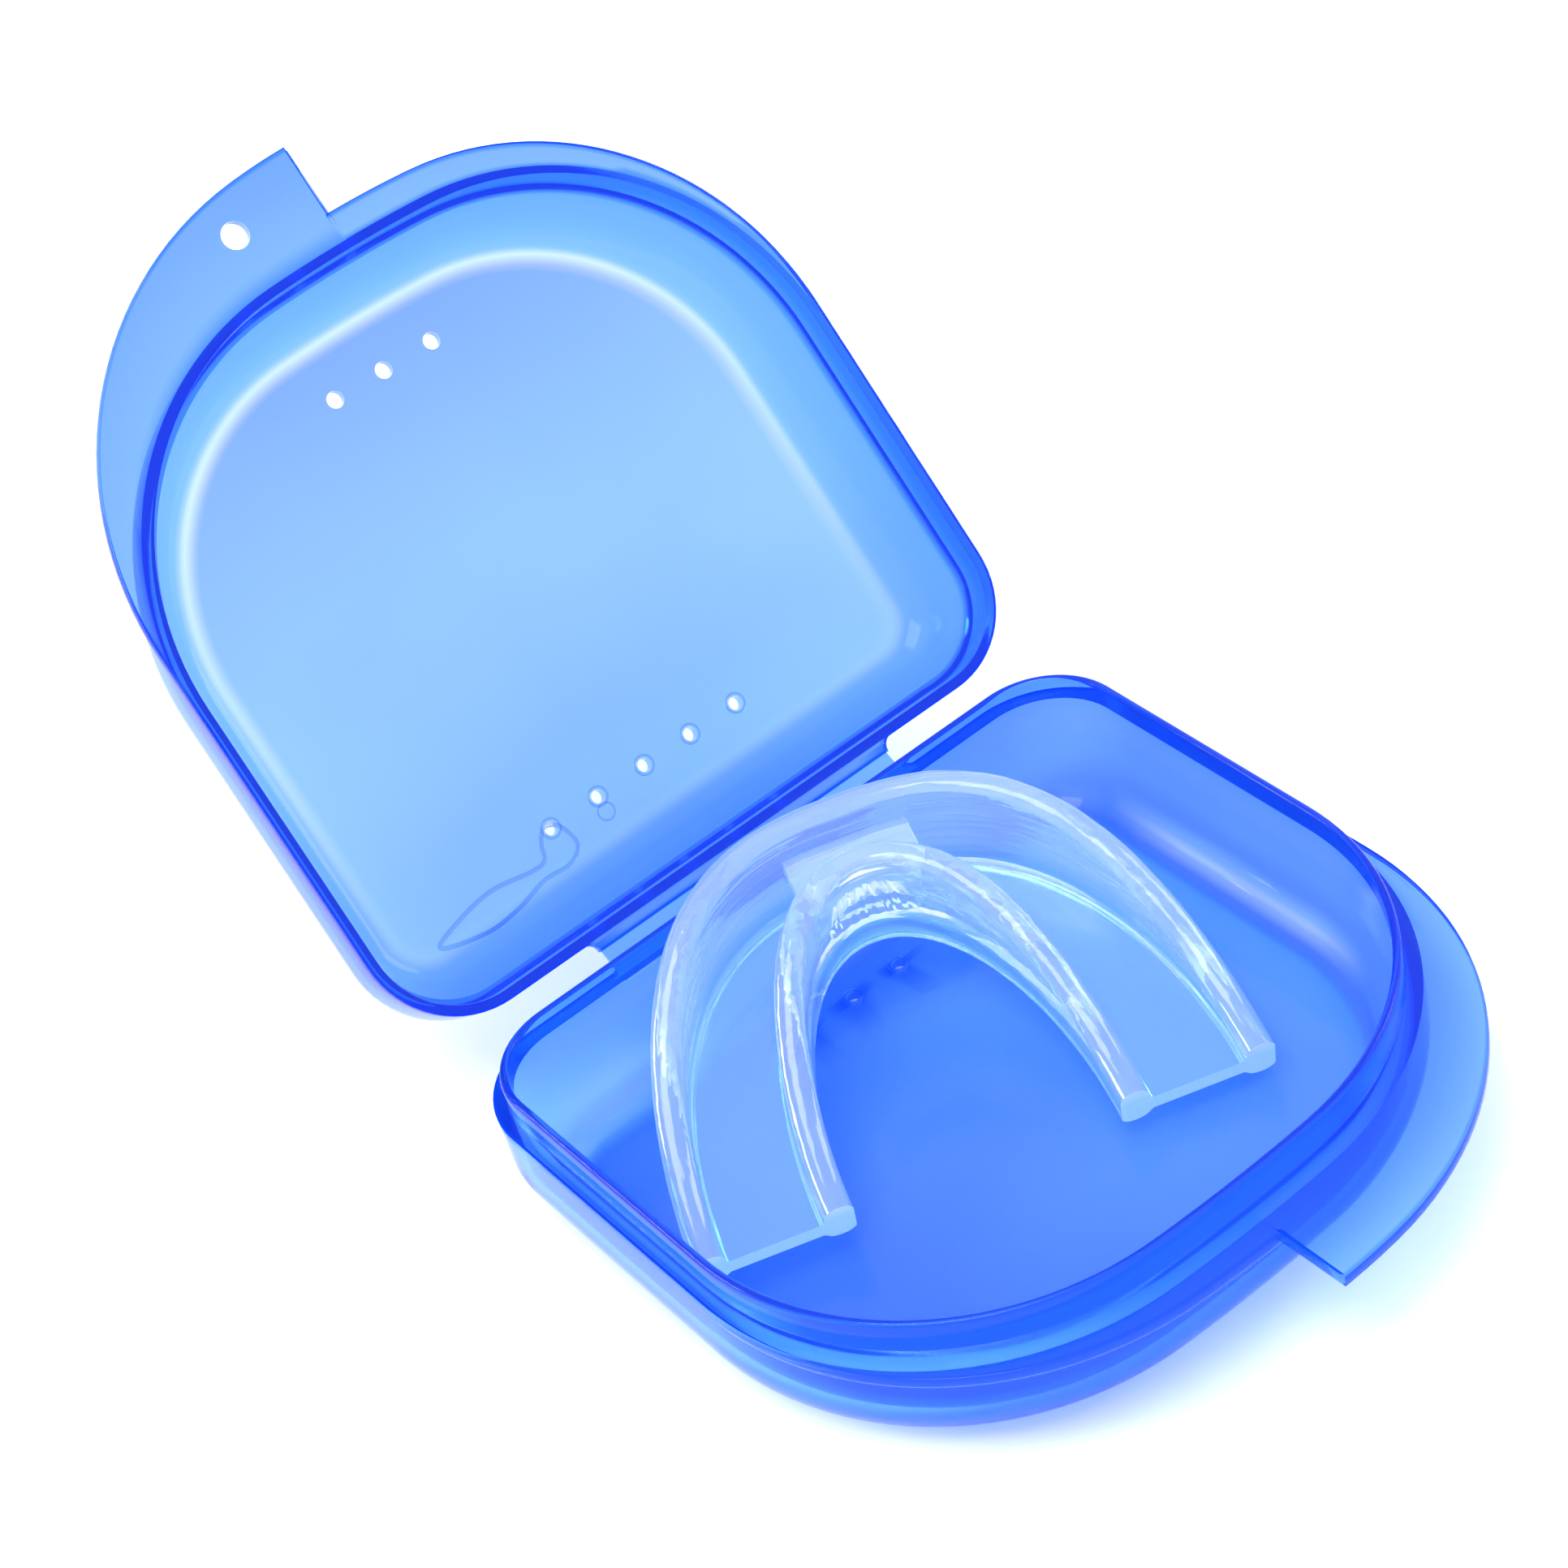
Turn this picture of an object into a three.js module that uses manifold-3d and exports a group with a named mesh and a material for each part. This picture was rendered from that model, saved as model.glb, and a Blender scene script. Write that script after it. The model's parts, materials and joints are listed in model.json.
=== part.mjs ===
// Mouthguard with its clamshell case.
// The case is a base and a lid of the same rounded outline, joined at the rear by a living hinge,
// each with a thumb tab on one front corner. A U-shaped mouthguard lies in the base.
// Millimetres, +Z up, front towards -Y. The origin is the middle of the base's flat underside.

import * as THREE from 'three';
import { mergeVertices } from 'three/addons/utils/BufferGeometryUtils.js';
import Module from 'manifold-3d';

const wasm = await Module();
wasm.setup();

// ---- driving dimensions ----

// Rim outline of both shells, measured from the hinge axis towards the front.
const RIM_HALF_WIDTH = 40;
const RIM_REAR = 2.2;
const RIM_FRONT = 75.1;
const REAR_CORNER_RADIUS = 10.5;
const FRONT_CORNER_RADIUS = 32.2;
const FRONT_BOW_RADIUS = 176;

// Shell walls.
const SHELL_DEPTH = 13.5;
const FLOOR_THICKNESS = 1.2;
const STRAIGHT_WALL = 6;
const FLOOR_FILLET_INSET = 7;
const LID_WALL_INSET = 2;
const BASE_WALL_INSET = 2.4;

// The base's upstanding lip and the recess round the lid that takes it.
const LIP_OUTER_INSET = 1.5;
const LIP_HEIGHT = 3.4;
const RECESS_INSET = 1.15;
const RECESS_DEPTH = 3.7;

// Front flange and thumb tabs.
const FLANGE_THICKNESS = 1.3;
const FLANGE_FRONT = 78.2;
const FLANGE_CORNER_RADIUS = 33;
const FLANGE_BOW_RADIUS = 118;
const TAB_FRONT = 86.1;
const TAB_CORNER_RADIUS = 36.5;
const TAB_BOW_RADIUS = 70.6;
const TAB_SPLIT_GAP = 0.6;
const LANYARD_HOLE = { x: -9.8, reach: 80.9, radius: 1.5 };

// Vents, as rows across the floor of a shell.
const LID_FRONT_VENTS = { count: 3, spacing: 6.2, reach: 62.8, radius: 0.95, offset: -0.3 };
const LID_HINGE_VENTS = { count: 5, spacing: 6.2, reach: 13.4, radius: 0.75, offset: -0.2 };
const BASE_HINGE_VENTS = { count: 3, spacing: 6.1, reach: 12.3, radius: 0.8, offset: 0 };

// Living hinge.
const HINGE_HALF_LENGTH = 19;
const LEAF_CORNER_RADIUS = 1.3;
const LEAF_REACH = 0.9;
const LEAF_THICKNESS = 1.3;
const FILM_RADIUS = 0.45;
const RIM_CLEARANCE = 0.15;
const LID_LEAN_DEG = 52;

// Mouthguard, in its own frame: y runs from the leg ends to the arch, z = 0 is the bite plate's top.
const GUARD = { halfWidth: 29.8, length: 39.6, bend: 2.5 };
const INNER_ARCH = { halfWidth: 13.7, length: 30.8, bend: 2.05 };
const GUARD_WALL = 3;
const PLATE_THICKNESS = 1.8;
const OUTER_TOP = { leg: 1.8, arch: 11.4 };
const INNER_TOP = { leg: 1.9, arch: 10 };
const OUTER_FOOT = { leg: -2.7, arch: -3.6 };
const INNER_FOOT = { leg: -2.7, arch: -3.8 };
const BRIDGE = { halfWidth: 6.6, bottom: 5.7, top: 7.4 };
const AIR_SLOT = { halfWidth: 4.9, bottom: 1.4, top: 4.4 };
const GUARD_YAW_DEG = -19.5;
const GUARD_PITCH_DEG = 12;
const GUARD_ROLL_DEG = 2;
const GUARD_PLACE = { x: -7.6, reach: 44.5, z: 5.4 };

// Where solids of the same moulding are kept apart.
const GAP = 0.3;

// Rounding steps and an overshoot for cutting tools.
const ARC_STEPS = 12;
const BOW_STEPS = 5;
const FILLET_STEPS = 6;
const HOLE_SIDES = 16;
const ARCH_STEPS = 44;
const OVERSHOOT = 5;
const TALL = 30;

// The hinge axis in the frame of the whole object.
const HINGE_Y = (RIM_REAR + RIM_FRONT) / 2;
const HINGE_Z = SHELL_DEPTH;

// ---- outlines ----

// Points on an arc, both ends included.
function arcPoints(centreX, centreY, radius, fromAngle, toAngle, steps) {
  const points = [];
  for (let i = 0; i <= steps; i += 1) {
    const angle = fromAngle + ((toAngle - fromAngle) * i) / steps;
    points.push(new THREE.Vector2(centreX + radius * Math.cos(angle), centreY + radius * Math.sin(angle)));
  }
  return points;
}

// A rounded trapezoid with straight sides, tight rear corners, wide front corners and a bowed front.
// x is across the case and y is the reach from the hinge axis; inset moves the outline inwards.
function caseOutline({ front, cornerRadius, bowRadius, inset = 0 }) {
  const half = RIM_HALF_WIDTH - inset;
  const rear = RIM_REAR + inset;
  const rearRadius = REAR_CORNER_RADIUS - inset;
  const frontRadius = cornerRadius - inset;
  const bow = bowRadius - inset;
  const bowCentreY = front - bowRadius;
  const cornerX = half - frontRadius;
  const cornerY = bowCentreY + Math.sqrt((bow - frontRadius) ** 2 - cornerX ** 2);
  const bowAngle = Math.atan2(cornerY - bowCentreY, cornerX);
  const right = [
    ...arcPoints(half - rearRadius, rear + rearRadius, rearRadius, -Math.PI / 2, 0, ARC_STEPS),
    ...arcPoints(cornerX, cornerY, frontRadius, 0, bowAngle, ARC_STEPS),
    ...arcPoints(0, bowCentreY, bow, bowAngle, Math.PI / 2, BOW_STEPS).slice(1),
  ];
  const left = right.slice(0, -1).reverse().map((point) => new THREE.Vector2(-point.x, point.y));
  return [...right, ...left];
}

const rimOutline = (inset) => caseOutline({
  front: RIM_FRONT, cornerRadius: FRONT_CORNER_RADIUS, bowRadius: FRONT_BOW_RADIUS, inset,
});

const flangeOutline = () => caseOutline({
  front: FLANGE_FRONT, cornerRadius: FLANGE_CORNER_RADIUS, bowRadius: FLANGE_BOW_RADIUS,
});

const tabOutline = () => caseOutline({
  front: TAB_FRONT, cornerRadius: TAB_CORNER_RADIUS, bowRadius: TAB_BOW_RADIUS,
});

// ---- solids ----

// A manifold solid from a closed three.js geometry.
function toSolid(geometry) {
  const bare = geometry.index ? geometry.toNonIndexed() : geometry.clone();
  bare.deleteAttribute('normal');
  bare.deleteAttribute('uv');
  const merged = mergeVertices(bare, 1e-4);
  return new wasm.Manifold(new wasm.Mesh({
    numProp: 3,
    vertProperties: new Float32Array(merged.attributes.position.array),
    triVerts: new Uint32Array(merged.index.array),
  }));
}

// A three.js geometry from a manifold solid.
function toGeometry(solid) {
  const mesh = solid.getMesh();
  const geometry = new THREE.BufferGeometry();
  geometry.setAttribute('position', new THREE.BufferAttribute(mesh.vertProperties, 3));
  geometry.setIndex(new THREE.BufferAttribute(mesh.triVerts, 1));
  geometry.computeVertexNormals();
  return geometry;
}

// A flat-ended prism of an outline, between two heights.
function prism(outline, bottom, top) {
  const geometry = new THREE.ExtrudeGeometry(new THREE.Shape(outline), {
    depth: top - bottom, bevelEnabled: false,
  });
  geometry.translate(0, 0, bottom);
  return toSolid(geometry);
}

// A box between two corners.
function block(low, high) {
  const geometry = new THREE.BoxGeometry(high[0] - low[0], high[1] - low[1], high[2] - low[2]);
  geometry.translate((high[0] + low[0]) / 2, (high[1] + low[1]) / 2, (high[2] + low[2]) / 2);
  return toSolid(geometry);
}

// An upright round pin, for drilling holes.
function pin(x, y, radius, bottom, top) {
  const geometry = new THREE.CylinderGeometry(radius, radius, top - bottom, HOLE_SIDES);
  geometry.rotateX(Math.PI / 2);
  geometry.translate(x, y, (bottom + top) / 2);
  return toSolid(geometry);
}

// ---- case shells ----
// A shell is made with its open side up, its rim at z = 0 and the hinge axis along x through the origin.

// A tub with straight walls above and a wide elliptical fillet into its floor.
// wallInset is where the wall stands in from the rim, and bottom is the floor's height.
function tub(wallInset, bottom, top) {
  const bevelWidth = FLOOR_FILLET_INSET - wallInset;
  const bevelHeight = -STRAIGHT_WALL - bottom;
  const geometry = new THREE.ExtrudeGeometry(new THREE.Shape(rimOutline(FLOOR_FILLET_INSET)), {
    depth: top + STRAIGHT_WALL + bevelHeight,
    bevelEnabled: true,
    bevelThickness: bevelHeight,
    bevelSize: bevelWidth,
    bevelSegments: FILLET_STEPS,
  });
  geometry.translate(0, 0, -STRAIGHT_WALL);
  const reach = TAB_FRONT + OVERSHOOT;
  const cap = block([-reach, -reach, top], [reach, reach, reach]);
  return toSolid(geometry).subtract(cap);
}

// The flange round the rim, with a thumb tab on the front corner towards -x.
function flangeWithTab() {
  const bottom = -FLANGE_THICKNESS;
  const reach = TAB_FRONT + OVERSHOOT;
  const half = block([-reach, 0, bottom - OVERSHOOT], [-TAB_SPLIT_GAP / 2, reach, OVERSHOOT]);
  const tab = prism(tabOutline(), bottom, 0).intersect(half);
  return prism(flangeOutline(), bottom, 0).add(tab);
}

// The leaf that carries the rim back to the hinge film, with a concave fillet at each end.
function hingeLeaf() {
  const tip = HINGE_HALF_LENGTH;
  const root = HINGE_HALF_LENGTH + LEAF_CORNER_RADIUS;
  const overlap = RIM_REAR + LIP_OUTER_INSET;
  const right = [
    new THREE.Vector2(tip, LEAF_REACH),
    ...arcPoints(root, RIM_REAR - LEAF_CORNER_RADIUS, LEAF_CORNER_RADIUS, Math.PI, Math.PI / 2, BOW_STEPS),
    new THREE.Vector2(root, overlap),
  ].filter((point) => point.y >= LEAF_REACH);
  const left = [...right].reverse().map((point) => new THREE.Vector2(-point.x, point.y));
  return prism([...left, ...right], -LEAF_THICKNESS, 0);
}

// A row of round pins across the floor of a shell.
function ventRow({ count, spacing, reach, radius, offset }) {
  let row = null;
  for (let i = 0; i < count; i += 1) {
    const x = offset + (i - (count - 1) / 2) * spacing;
    const vent = pin(x, reach, radius, -SHELL_DEPTH - OVERSHOOT, FLOOR_THICKNESS - SHELL_DEPTH + OVERSHOOT);
    row = row ? row.add(vent) : vent;
  }
  return row;
}

function lidSolid() {
  const hollow = tub(LID_WALL_INSET, FLOOR_THICKNESS - SHELL_DEPTH, OVERSHOOT);
  const recess = prism(rimOutline(RECESS_INSET), -RECESS_DEPTH, OVERSHOOT);
  const hole = pin(LANYARD_HOLE.x, LANYARD_HOLE.reach, LANYARD_HOLE.radius, -OVERSHOOT, OVERSHOOT);
  return tub(0, -SHELL_DEPTH, 0)
    .add(flangeWithTab())
    .add(hingeLeaf())
    .subtract(hollow)
    .subtract(recess)
    .subtract(hole)
    .subtract(ventRow(LID_FRONT_VENTS))
    .subtract(ventRow(LID_HINGE_VENTS));
}

function baseSolid() {
  const lip = prism(rimOutline(LIP_OUTER_INSET), -OVERSHOOT / 2, LIP_HEIGHT);
  const hollow = tub(BASE_WALL_INSET, FLOOR_THICKNESS - SHELL_DEPTH, LIP_HEIGHT + OVERSHOOT);
  return tub(0, -SHELL_DEPTH, 0)
    .add(flangeWithTab())
    .add(hingeLeaf())
    .add(lip)
    .subtract(hollow)
    .subtract(ventRow(BASE_HINGE_VENTS));
}

// ---- mouthguard ----

// The U of an arch, from the right leg end round to the left one.
function archPoints({ halfWidth, length, bend }, grow = 0) {
  const points = [];
  for (let i = 0; i <= ARCH_STEPS; i += 1) {
    const angle = (Math.PI * i) / ARCH_STEPS;
    const across = Math.cos(angle);
    const x = Math.sign(across) * Math.abs(across) ** (2 / bend) * (halfWidth + grow);
    points.push(new THREE.Vector2(x, (length + grow) * Math.sin(angle)));
  }
  return points;
}

// The flat band between two arches, one grown from each given outline.
const archBand = (outer, inner) => [...outer, ...inner.reverse()];

// A slab right across the guard whose top and foot rise smoothly from the legs to the arch.
function heightSlab(foot, top, length) {
  const swell = (share) => share * share * (3 - 2 * share);
  const level = (range, share) => range.leg + (range.arch - range.leg) * swell(share);
  const topEdge = [];
  const footEdge = [];
  for (let i = 0; i <= ARC_STEPS; i += 1) {
    const share = i / ARC_STEPS;
    topEdge.push(new THREE.Vector2(share * length, level(top, share)));
    footEdge.push(new THREE.Vector2(share * length, level(foot, share)));
  }
  const before = -OVERSHOOT;
  const after = length + OVERSHOOT;
  const outline = [
    new THREE.Vector2(before, foot.leg), ...footEdge, new THREE.Vector2(after, foot.arch),
    new THREE.Vector2(after, top.arch), ...topEdge.reverse(), new THREE.Vector2(before, top.leg),
  ];
  const width = 2 * (GUARD.halfWidth + OVERSHOOT);
  const geometry = new THREE.ExtrudeGeometry(new THREE.Shape(outline), { depth: width, bevelEnabled: false });
  geometry.translate(0, 0, -width / 2);
  // The outline's x and y become the guard's y and z.
  geometry.rotateY(Math.PI / 2);
  geometry.rotateX(Math.PI / 2);
  return toSolid(geometry);
}

function outerWallSolid() {
  const band = prism(archBand(archPoints(GUARD), archPoints(GUARD, -GUARD_WALL)), -TALL, TALL);
  return band.intersect(heightSlab(OUTER_FOOT, OUTER_TOP, GUARD.length));
}

function innerWallSolid() {
  const band = prism(archBand(archPoints(INNER_ARCH, GUARD_WALL), archPoints(INNER_ARCH)), -TALL, TALL);
  const slot = block(
    [-AIR_SLOT.halfWidth, 0, AIR_SLOT.bottom],
    [AIR_SLOT.halfWidth, GUARD.length, AIR_SLOT.top],
  );
  return band
    .intersect(heightSlab(INNER_FOOT, INNER_TOP, INNER_ARCH.length + GUARD_WALL))
    .subtract(slot);
}

function trayBand(bottom, top) {
  const outer = archPoints(GUARD, -GUARD_WALL - GAP);
  const inner = archPoints(INNER_ARCH, GUARD_WALL + GAP);
  return prism(archBand(outer, inner), bottom, top);
}

const bitePlateSolid = () => trayBand(-PLATE_THICKNESS, 0);

// The bridge that ties the walls together at the front, with room under it for breath.
function frontBridgeSolid() {
  const span = block(
    [-BRIDGE.halfWidth, 0, BRIDGE.bottom],
    [BRIDGE.halfWidth, GUARD.length, BRIDGE.top],
  );
  return trayBand(BRIDGE.bottom, BRIDGE.top).intersect(span);
}

// ---- materials ----

function clearBluePlastic() {
  return new THREE.MeshStandardMaterial({ color: 0x4f8dff, roughness: 0.18, metalness: 0 });
}

function clearGuardPlastic() {
  return new THREE.MeshStandardMaterial({ color: 0xd6e6ff, roughness: 0.35, metalness: 0 });
}

// ---- assembly ----

function namedMesh(name, solid, material) {
  const mesh = new THREE.Mesh(toGeometry(solid), material);
  mesh.name = name;
  return mesh;
}

// The base faces the other way: its frame is the lid's, turned half a turn about z, which also puts
// its thumb tab on the opposite corner.
function buildBase() {
  const group = new THREE.Group();
  group.position.set(0, HINGE_Y, HINGE_Z);
  group.rotation.z = Math.PI;
  const shell = namedMesh('base_shell', baseSolid(), clearBluePlastic());
  shell.position.z = -RIM_CLEARANCE;
  group.add(shell);
  return group;
}

function buildLid() {
  const group = new THREE.Group();
  group.position.set(0, HINGE_Y, HINGE_Z);
  group.rotation.x = THREE.MathUtils.degToRad(LID_LEAN_DEG);
  const shell = namedMesh('lid_shell', lidSolid(), clearBluePlastic());
  shell.position.z = -RIM_CLEARANCE;
  group.add(shell);
  return group;
}

// The film bends on the hinge axis; its solid is a thin round strip there, clear of both leaves.
function buildFilm() {
  const geometry = new THREE.CylinderGeometry(FILM_RADIUS, FILM_RADIUS, 2 * HINGE_HALF_LENGTH, HOLE_SIDES);
  geometry.rotateZ(Math.PI / 2);
  const film = namedMesh('hinge_film', toSolid(geometry), clearBluePlastic());
  film.position.set(0, HINGE_Y, HINGE_Z);
  return film;
}

function buildMouthguard() {
  const turned = new THREE.Group();
  turned.position.set(GUARD_PLACE.x, HINGE_Y - GUARD_PLACE.reach, GUARD_PLACE.z);
  turned.rotation.z = THREE.MathUtils.degToRad(GUARD_YAW_DEG);
  const tilted = new THREE.Group();
  tilted.rotation.x = THREE.MathUtils.degToRad(GUARD_PITCH_DEG);
  tilted.rotation.y = THREE.MathUtils.degToRad(GUARD_ROLL_DEG);
  tilted.add(namedMesh('guard_outer_wall', outerWallSolid(), clearGuardPlastic()));
  tilted.add(namedMesh('guard_inner_wall', innerWallSolid(), clearGuardPlastic()));
  tilted.add(namedMesh('guard_bite_plate', bitePlateSolid(), clearGuardPlastic()));
  tilted.add(namedMesh('guard_front_bridge', frontBridgeSolid(), clearGuardPlastic()));
  turned.add(tilted);
  return turned;
}

const mouthguardCase = new THREE.Group();
mouthguardCase.add(buildBase(), buildLid(), buildFilm(), buildMouthguard());

export default mouthguardCase;
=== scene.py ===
"""A translucent blue mouthguard case, open, with a clear one-piece mouthguard lying in its base.

Shapes are worked out in millimetres and scaled to metres when a mesh is made.
"""

import json
import math

import bmesh
import bpy
import numpy as np
from mathutils import Matrix, Vector


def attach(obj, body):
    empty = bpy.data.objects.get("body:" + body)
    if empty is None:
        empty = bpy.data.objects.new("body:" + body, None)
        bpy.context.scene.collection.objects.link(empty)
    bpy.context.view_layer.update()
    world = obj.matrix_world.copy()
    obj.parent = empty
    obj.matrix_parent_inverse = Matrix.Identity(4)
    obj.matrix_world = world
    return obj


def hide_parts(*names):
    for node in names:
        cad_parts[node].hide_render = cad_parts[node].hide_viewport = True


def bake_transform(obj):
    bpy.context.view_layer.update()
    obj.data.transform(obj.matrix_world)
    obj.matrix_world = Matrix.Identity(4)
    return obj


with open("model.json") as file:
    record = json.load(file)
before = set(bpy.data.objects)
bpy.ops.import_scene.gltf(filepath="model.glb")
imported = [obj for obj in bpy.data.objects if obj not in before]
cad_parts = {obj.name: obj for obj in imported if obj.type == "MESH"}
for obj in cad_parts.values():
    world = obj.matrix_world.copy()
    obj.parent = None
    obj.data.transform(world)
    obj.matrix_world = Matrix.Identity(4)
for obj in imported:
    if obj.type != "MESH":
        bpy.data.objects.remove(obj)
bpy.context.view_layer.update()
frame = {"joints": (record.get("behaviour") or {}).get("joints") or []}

MM = 0.001

# ---- the case's dimensions, in millimetres ----

RIM_HALF_WIDTH = 40.0
RIM_REAR = 2.2
RIM_FRONT = 75.1
REAR_CORNER = 10.5
RIM_CORNER, RIM_BOW = 32.2, 176.0
FLANGE_FRONT, FLANGE_CORNER, FLANGE_BOW = 78.2, 33.0, 118.0
TAB_FRONT, TAB_CORNER, TAB_BOW = 86.1, 36.5, 70.6
TAB_EDGE = -0.3  # x of the step between tab and flange
DEPTH, FLOOR = 13.5, 1.2
STRAIGHT = 6.0  # height of the straight part of the walls, over the fillet round the floor
FLOOR_INSET = 7.0
BASE_WALL, LID_WALL = 2.4, 2.0
LIP_INSET, LIP_HEIGHT = 1.5, 3.4
RECESS_INSET, RECESS_DEPTH = 1.15, 3.7
FLANGE_THICK = 1.3
LEAF_HALF, LEAF_CORNER, LEAF_REACH = 19.0, 1.3, 0.9
RIM_CLEARANCE = 0.15  # half the gap between the rims when the case is shut
EDGE_ROUND, EDGE_MIDDLE = 0.25, 0.07  # size of the flange's rounded edge, and its middle point
OUTLINE_WIDTH = 0.4  # of the darker line round the flange

# Holes: x, reach from the hinge and radius of each.
LANYARD = (-9.8, 80.9, 1.5)
LID_FRONT_VENTS = [(-0.3 + 6.2 * k, 62.8, 0.95) for k in (-1, 0, 1)]
LID_REAR_VENTS = [(-0.2 + 6.2 * k, 13.4, 0.75) for k in (-2, -1, 0, 1, 2)]
LID_VENTS = LID_FRONT_VENTS + LID_REAR_VENTS
BASE_VENTS = [(6.1 * k, 12.3, 0.8) for k in (-1, 0, 1)]

joint = next(j for j in frame["joints"] if j["name"] == "lid_hinge")
HINGE = Vector(joint["pos_m"]) / MM
LID_LEAN = math.radians(-joint["range_deg"][0])
CASE_CREASE, FILM_CREASE, GUARD_CREASE = 38, 50, 42  # degrees; sharper edges stay crisp

# These place a shell in the part's frame. A shell is drawn with x across, y its reach from the
# hinge, and its open side up.
AT_HINGE = Matrix.Translation(HINGE)
BASE_PLACE = AT_HINGE @ Matrix.Rotation(math.pi, 4, "Z")
LID_PLACE = AT_HINGE @ Matrix.Rotation(LID_LEAN, 4, "X")


# ---- outlines ----


def arc(cx, cy, radius, start, end, steps):
    """Points on an arc, both ends included."""
    a = np.linspace(start, end, steps + 1)
    return np.c_[cx + radius * np.cos(a), cy + radius * np.sin(a)]


# x of the points along the rear edge, close together round the leaf's corner.
LEAF_ARC = LEAF_HALF + LEAF_CORNER * (1 - np.cos(np.radians([15, 35, 55, 75, 90])))
REAR_X = np.r_[np.linspace(0, LEAF_HALF, 6), LEAF_ARC, 22.8, 25.1, 27.4]


def leaf_pull(x):
    """How far the rear edge is drawn back to the hinge film at x."""
    root = LEAF_HALF + LEAF_CORNER
    side = np.clip(root - np.abs(x), 0, LEAF_CORNER)
    curve = LEAF_CORNER - np.sqrt(LEAF_CORNER**2 - side**2)
    return np.where(np.abs(x) <= LEAF_HALF + 1e-6, RIM_REAR - LEAF_REACH, curve)


def half_outline(front, corner, bow, inset):
    """The +x half of an outline, from the middle of the rear to the middle of the front."""
    half, rear = RIM_HALF_WIDTH - inset, RIM_REAR + inset
    rear_corner = REAR_CORNER - inset
    cx = RIM_HALF_WIDTH - corner
    bow_y = front - bow
    cy = bow_y + math.sqrt((bow - corner) ** 2 - cx**2)
    turn = math.atan2(cy - bow_y, cx)
    side_low, side_high = RIM_REAR + REAR_CORNER, cy
    sides = np.linspace(side_low, side_high, 14)[1:-1]
    return np.vstack([
        np.c_[REAR_X, np.full(len(REAR_X), rear)],
        arc(RIM_HALF_WIDTH - REAR_CORNER, side_low, rear_corner, -math.pi / 2, 0, 16),
        np.c_[np.full(len(sides), half), sides],
        arc(cx, cy, corner - inset, 0, turn, 30),
        arc(0, bow_y, bow - inset, turn, math.pi / 2, 12)[1:],
    ])


def mirrored(points):
    """The same half at -x, from the front to the rear, without the rear's middle point."""
    return points[:0:-1] * (-1, 1)


def rim_ring(inset):
    """A closed ring of the rim, with the middle of its front twice, for the tab's edge."""
    right = half_outline(RIM_FRONT, RIM_CORNER, RIM_BOW, inset)
    left = mirrored(right)
    left[0, 0] = TAB_EDGE
    return np.vstack([right, left])


def flange_ring(inset):
    """A closed ring of the flange with the tab on its -x corner and the leaf at its rear."""
    right = half_outline(FLANGE_FRONT, FLANGE_CORNER, FLANGE_BOW, inset)
    left = mirrored(half_outline(TAB_FRONT, TAB_CORNER, TAB_BOW, inset))
    edge = TAB_EDGE - inset
    right[-1, 0] = edge
    left[0, 0] = edge
    left[1:, 0] = np.minimum(left[1:, 0], edge - 0.05)
    ring = np.vstack([right, left])
    at_rear = ring[:, 1] < RIM_REAR + inset + 1e-6
    ring[at_rear, 1] -= leaf_pull(ring[at_rear, 0])
    return ring


def tucked_flange_ring(inset):
    """The flange ring drawn in by inset, or as far as the rim where the flange is narrower."""
    outer, rim = flange_ring(0), rim_ring(0)
    away = rim - outer
    width = np.linalg.norm(away, axis=1)[:, None]
    return outer + away * np.minimum(1, inset / np.maximum(width, 1e-6))


# ---- meshes ----


def band(a, b, count):
    """The faces between two rings of count vertices, which start at a and b."""
    pairs = [(i, (i + 1) % count) for i in range(count)]
    return [(a + i, a + j, b + j, b + i) for i, j in pairs]


def joined_rings(rings):
    """Vertices and faces of rings joined in turn, open at both ends."""
    count = len(rings[0])
    verts = [tuple(p) for ring in rings for p in ring]
    faces = []
    for k in range(len(rings) - 1):
        faces += band(k * count, (k + 1) * count, count)
    return verts, faces


def loft_mesh(rings, low_cap, high_cap):
    """Vertices and faces of rings joined in turn, each end closed by a fan to a point."""
    count = len(rings[0])
    verts, faces = joined_rings(rings)
    for cap, start in ((low_cap, 0), (high_cap, (len(rings) - 1) * count)):
        verts.append(tuple(cap))
        tip = len(verts) - 1
        for i in range(count):
            j = (i + 1) % count
            face = (start + i, tip, start + j) if start == 0 else (start + i, start + j, tip)
            faces.append(face)
    return verts, faces


def in_metres(place):
    """place, with its shift in metres."""
    moved = place.copy()
    moved.translation *= MM
    return moved


def make_object(name, verts, faces, material, place=None):
    """A cleaned mesh object, moved by place from where it was drawn."""
    mesh = bpy.data.meshes.new(name)
    mesh.from_pydata([tuple(Vector(v) * MM) for v in verts], [], faces)
    bm = bmesh.new()
    bm.from_mesh(mesh)
    bmesh.ops.remove_doubles(bm, verts=bm.verts, dist=0.004 * MM)
    bmesh.ops.dissolve_degenerate(bm, edges=bm.edges, dist=0.002 * MM)
    bmesh.ops.recalc_face_normals(bm, faces=bm.faces)
    if place is not None:
        bm.transform(in_metres(place))
    bm.to_mesh(mesh)
    bm.free()
    mesh.materials.append(material)
    made = bpy.data.objects.new(name, mesh)
    bpy.context.scene.collection.objects.link(made)
    return made


def smooth_by_angle(made, degrees):
    """Smooth faces, with edges sharper than the angle kept crisp."""
    bm = bmesh.new()
    bm.from_mesh(made.data)
    limit = math.radians(degrees)
    for edge in bm.edges:
        edge.smooth = len(edge.link_faces) == 2 and edge.calc_face_angle(0) < limit
    for face in bm.faces:
        face.smooth = True
    bm.to_mesh(made.data)
    bm.free()


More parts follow.
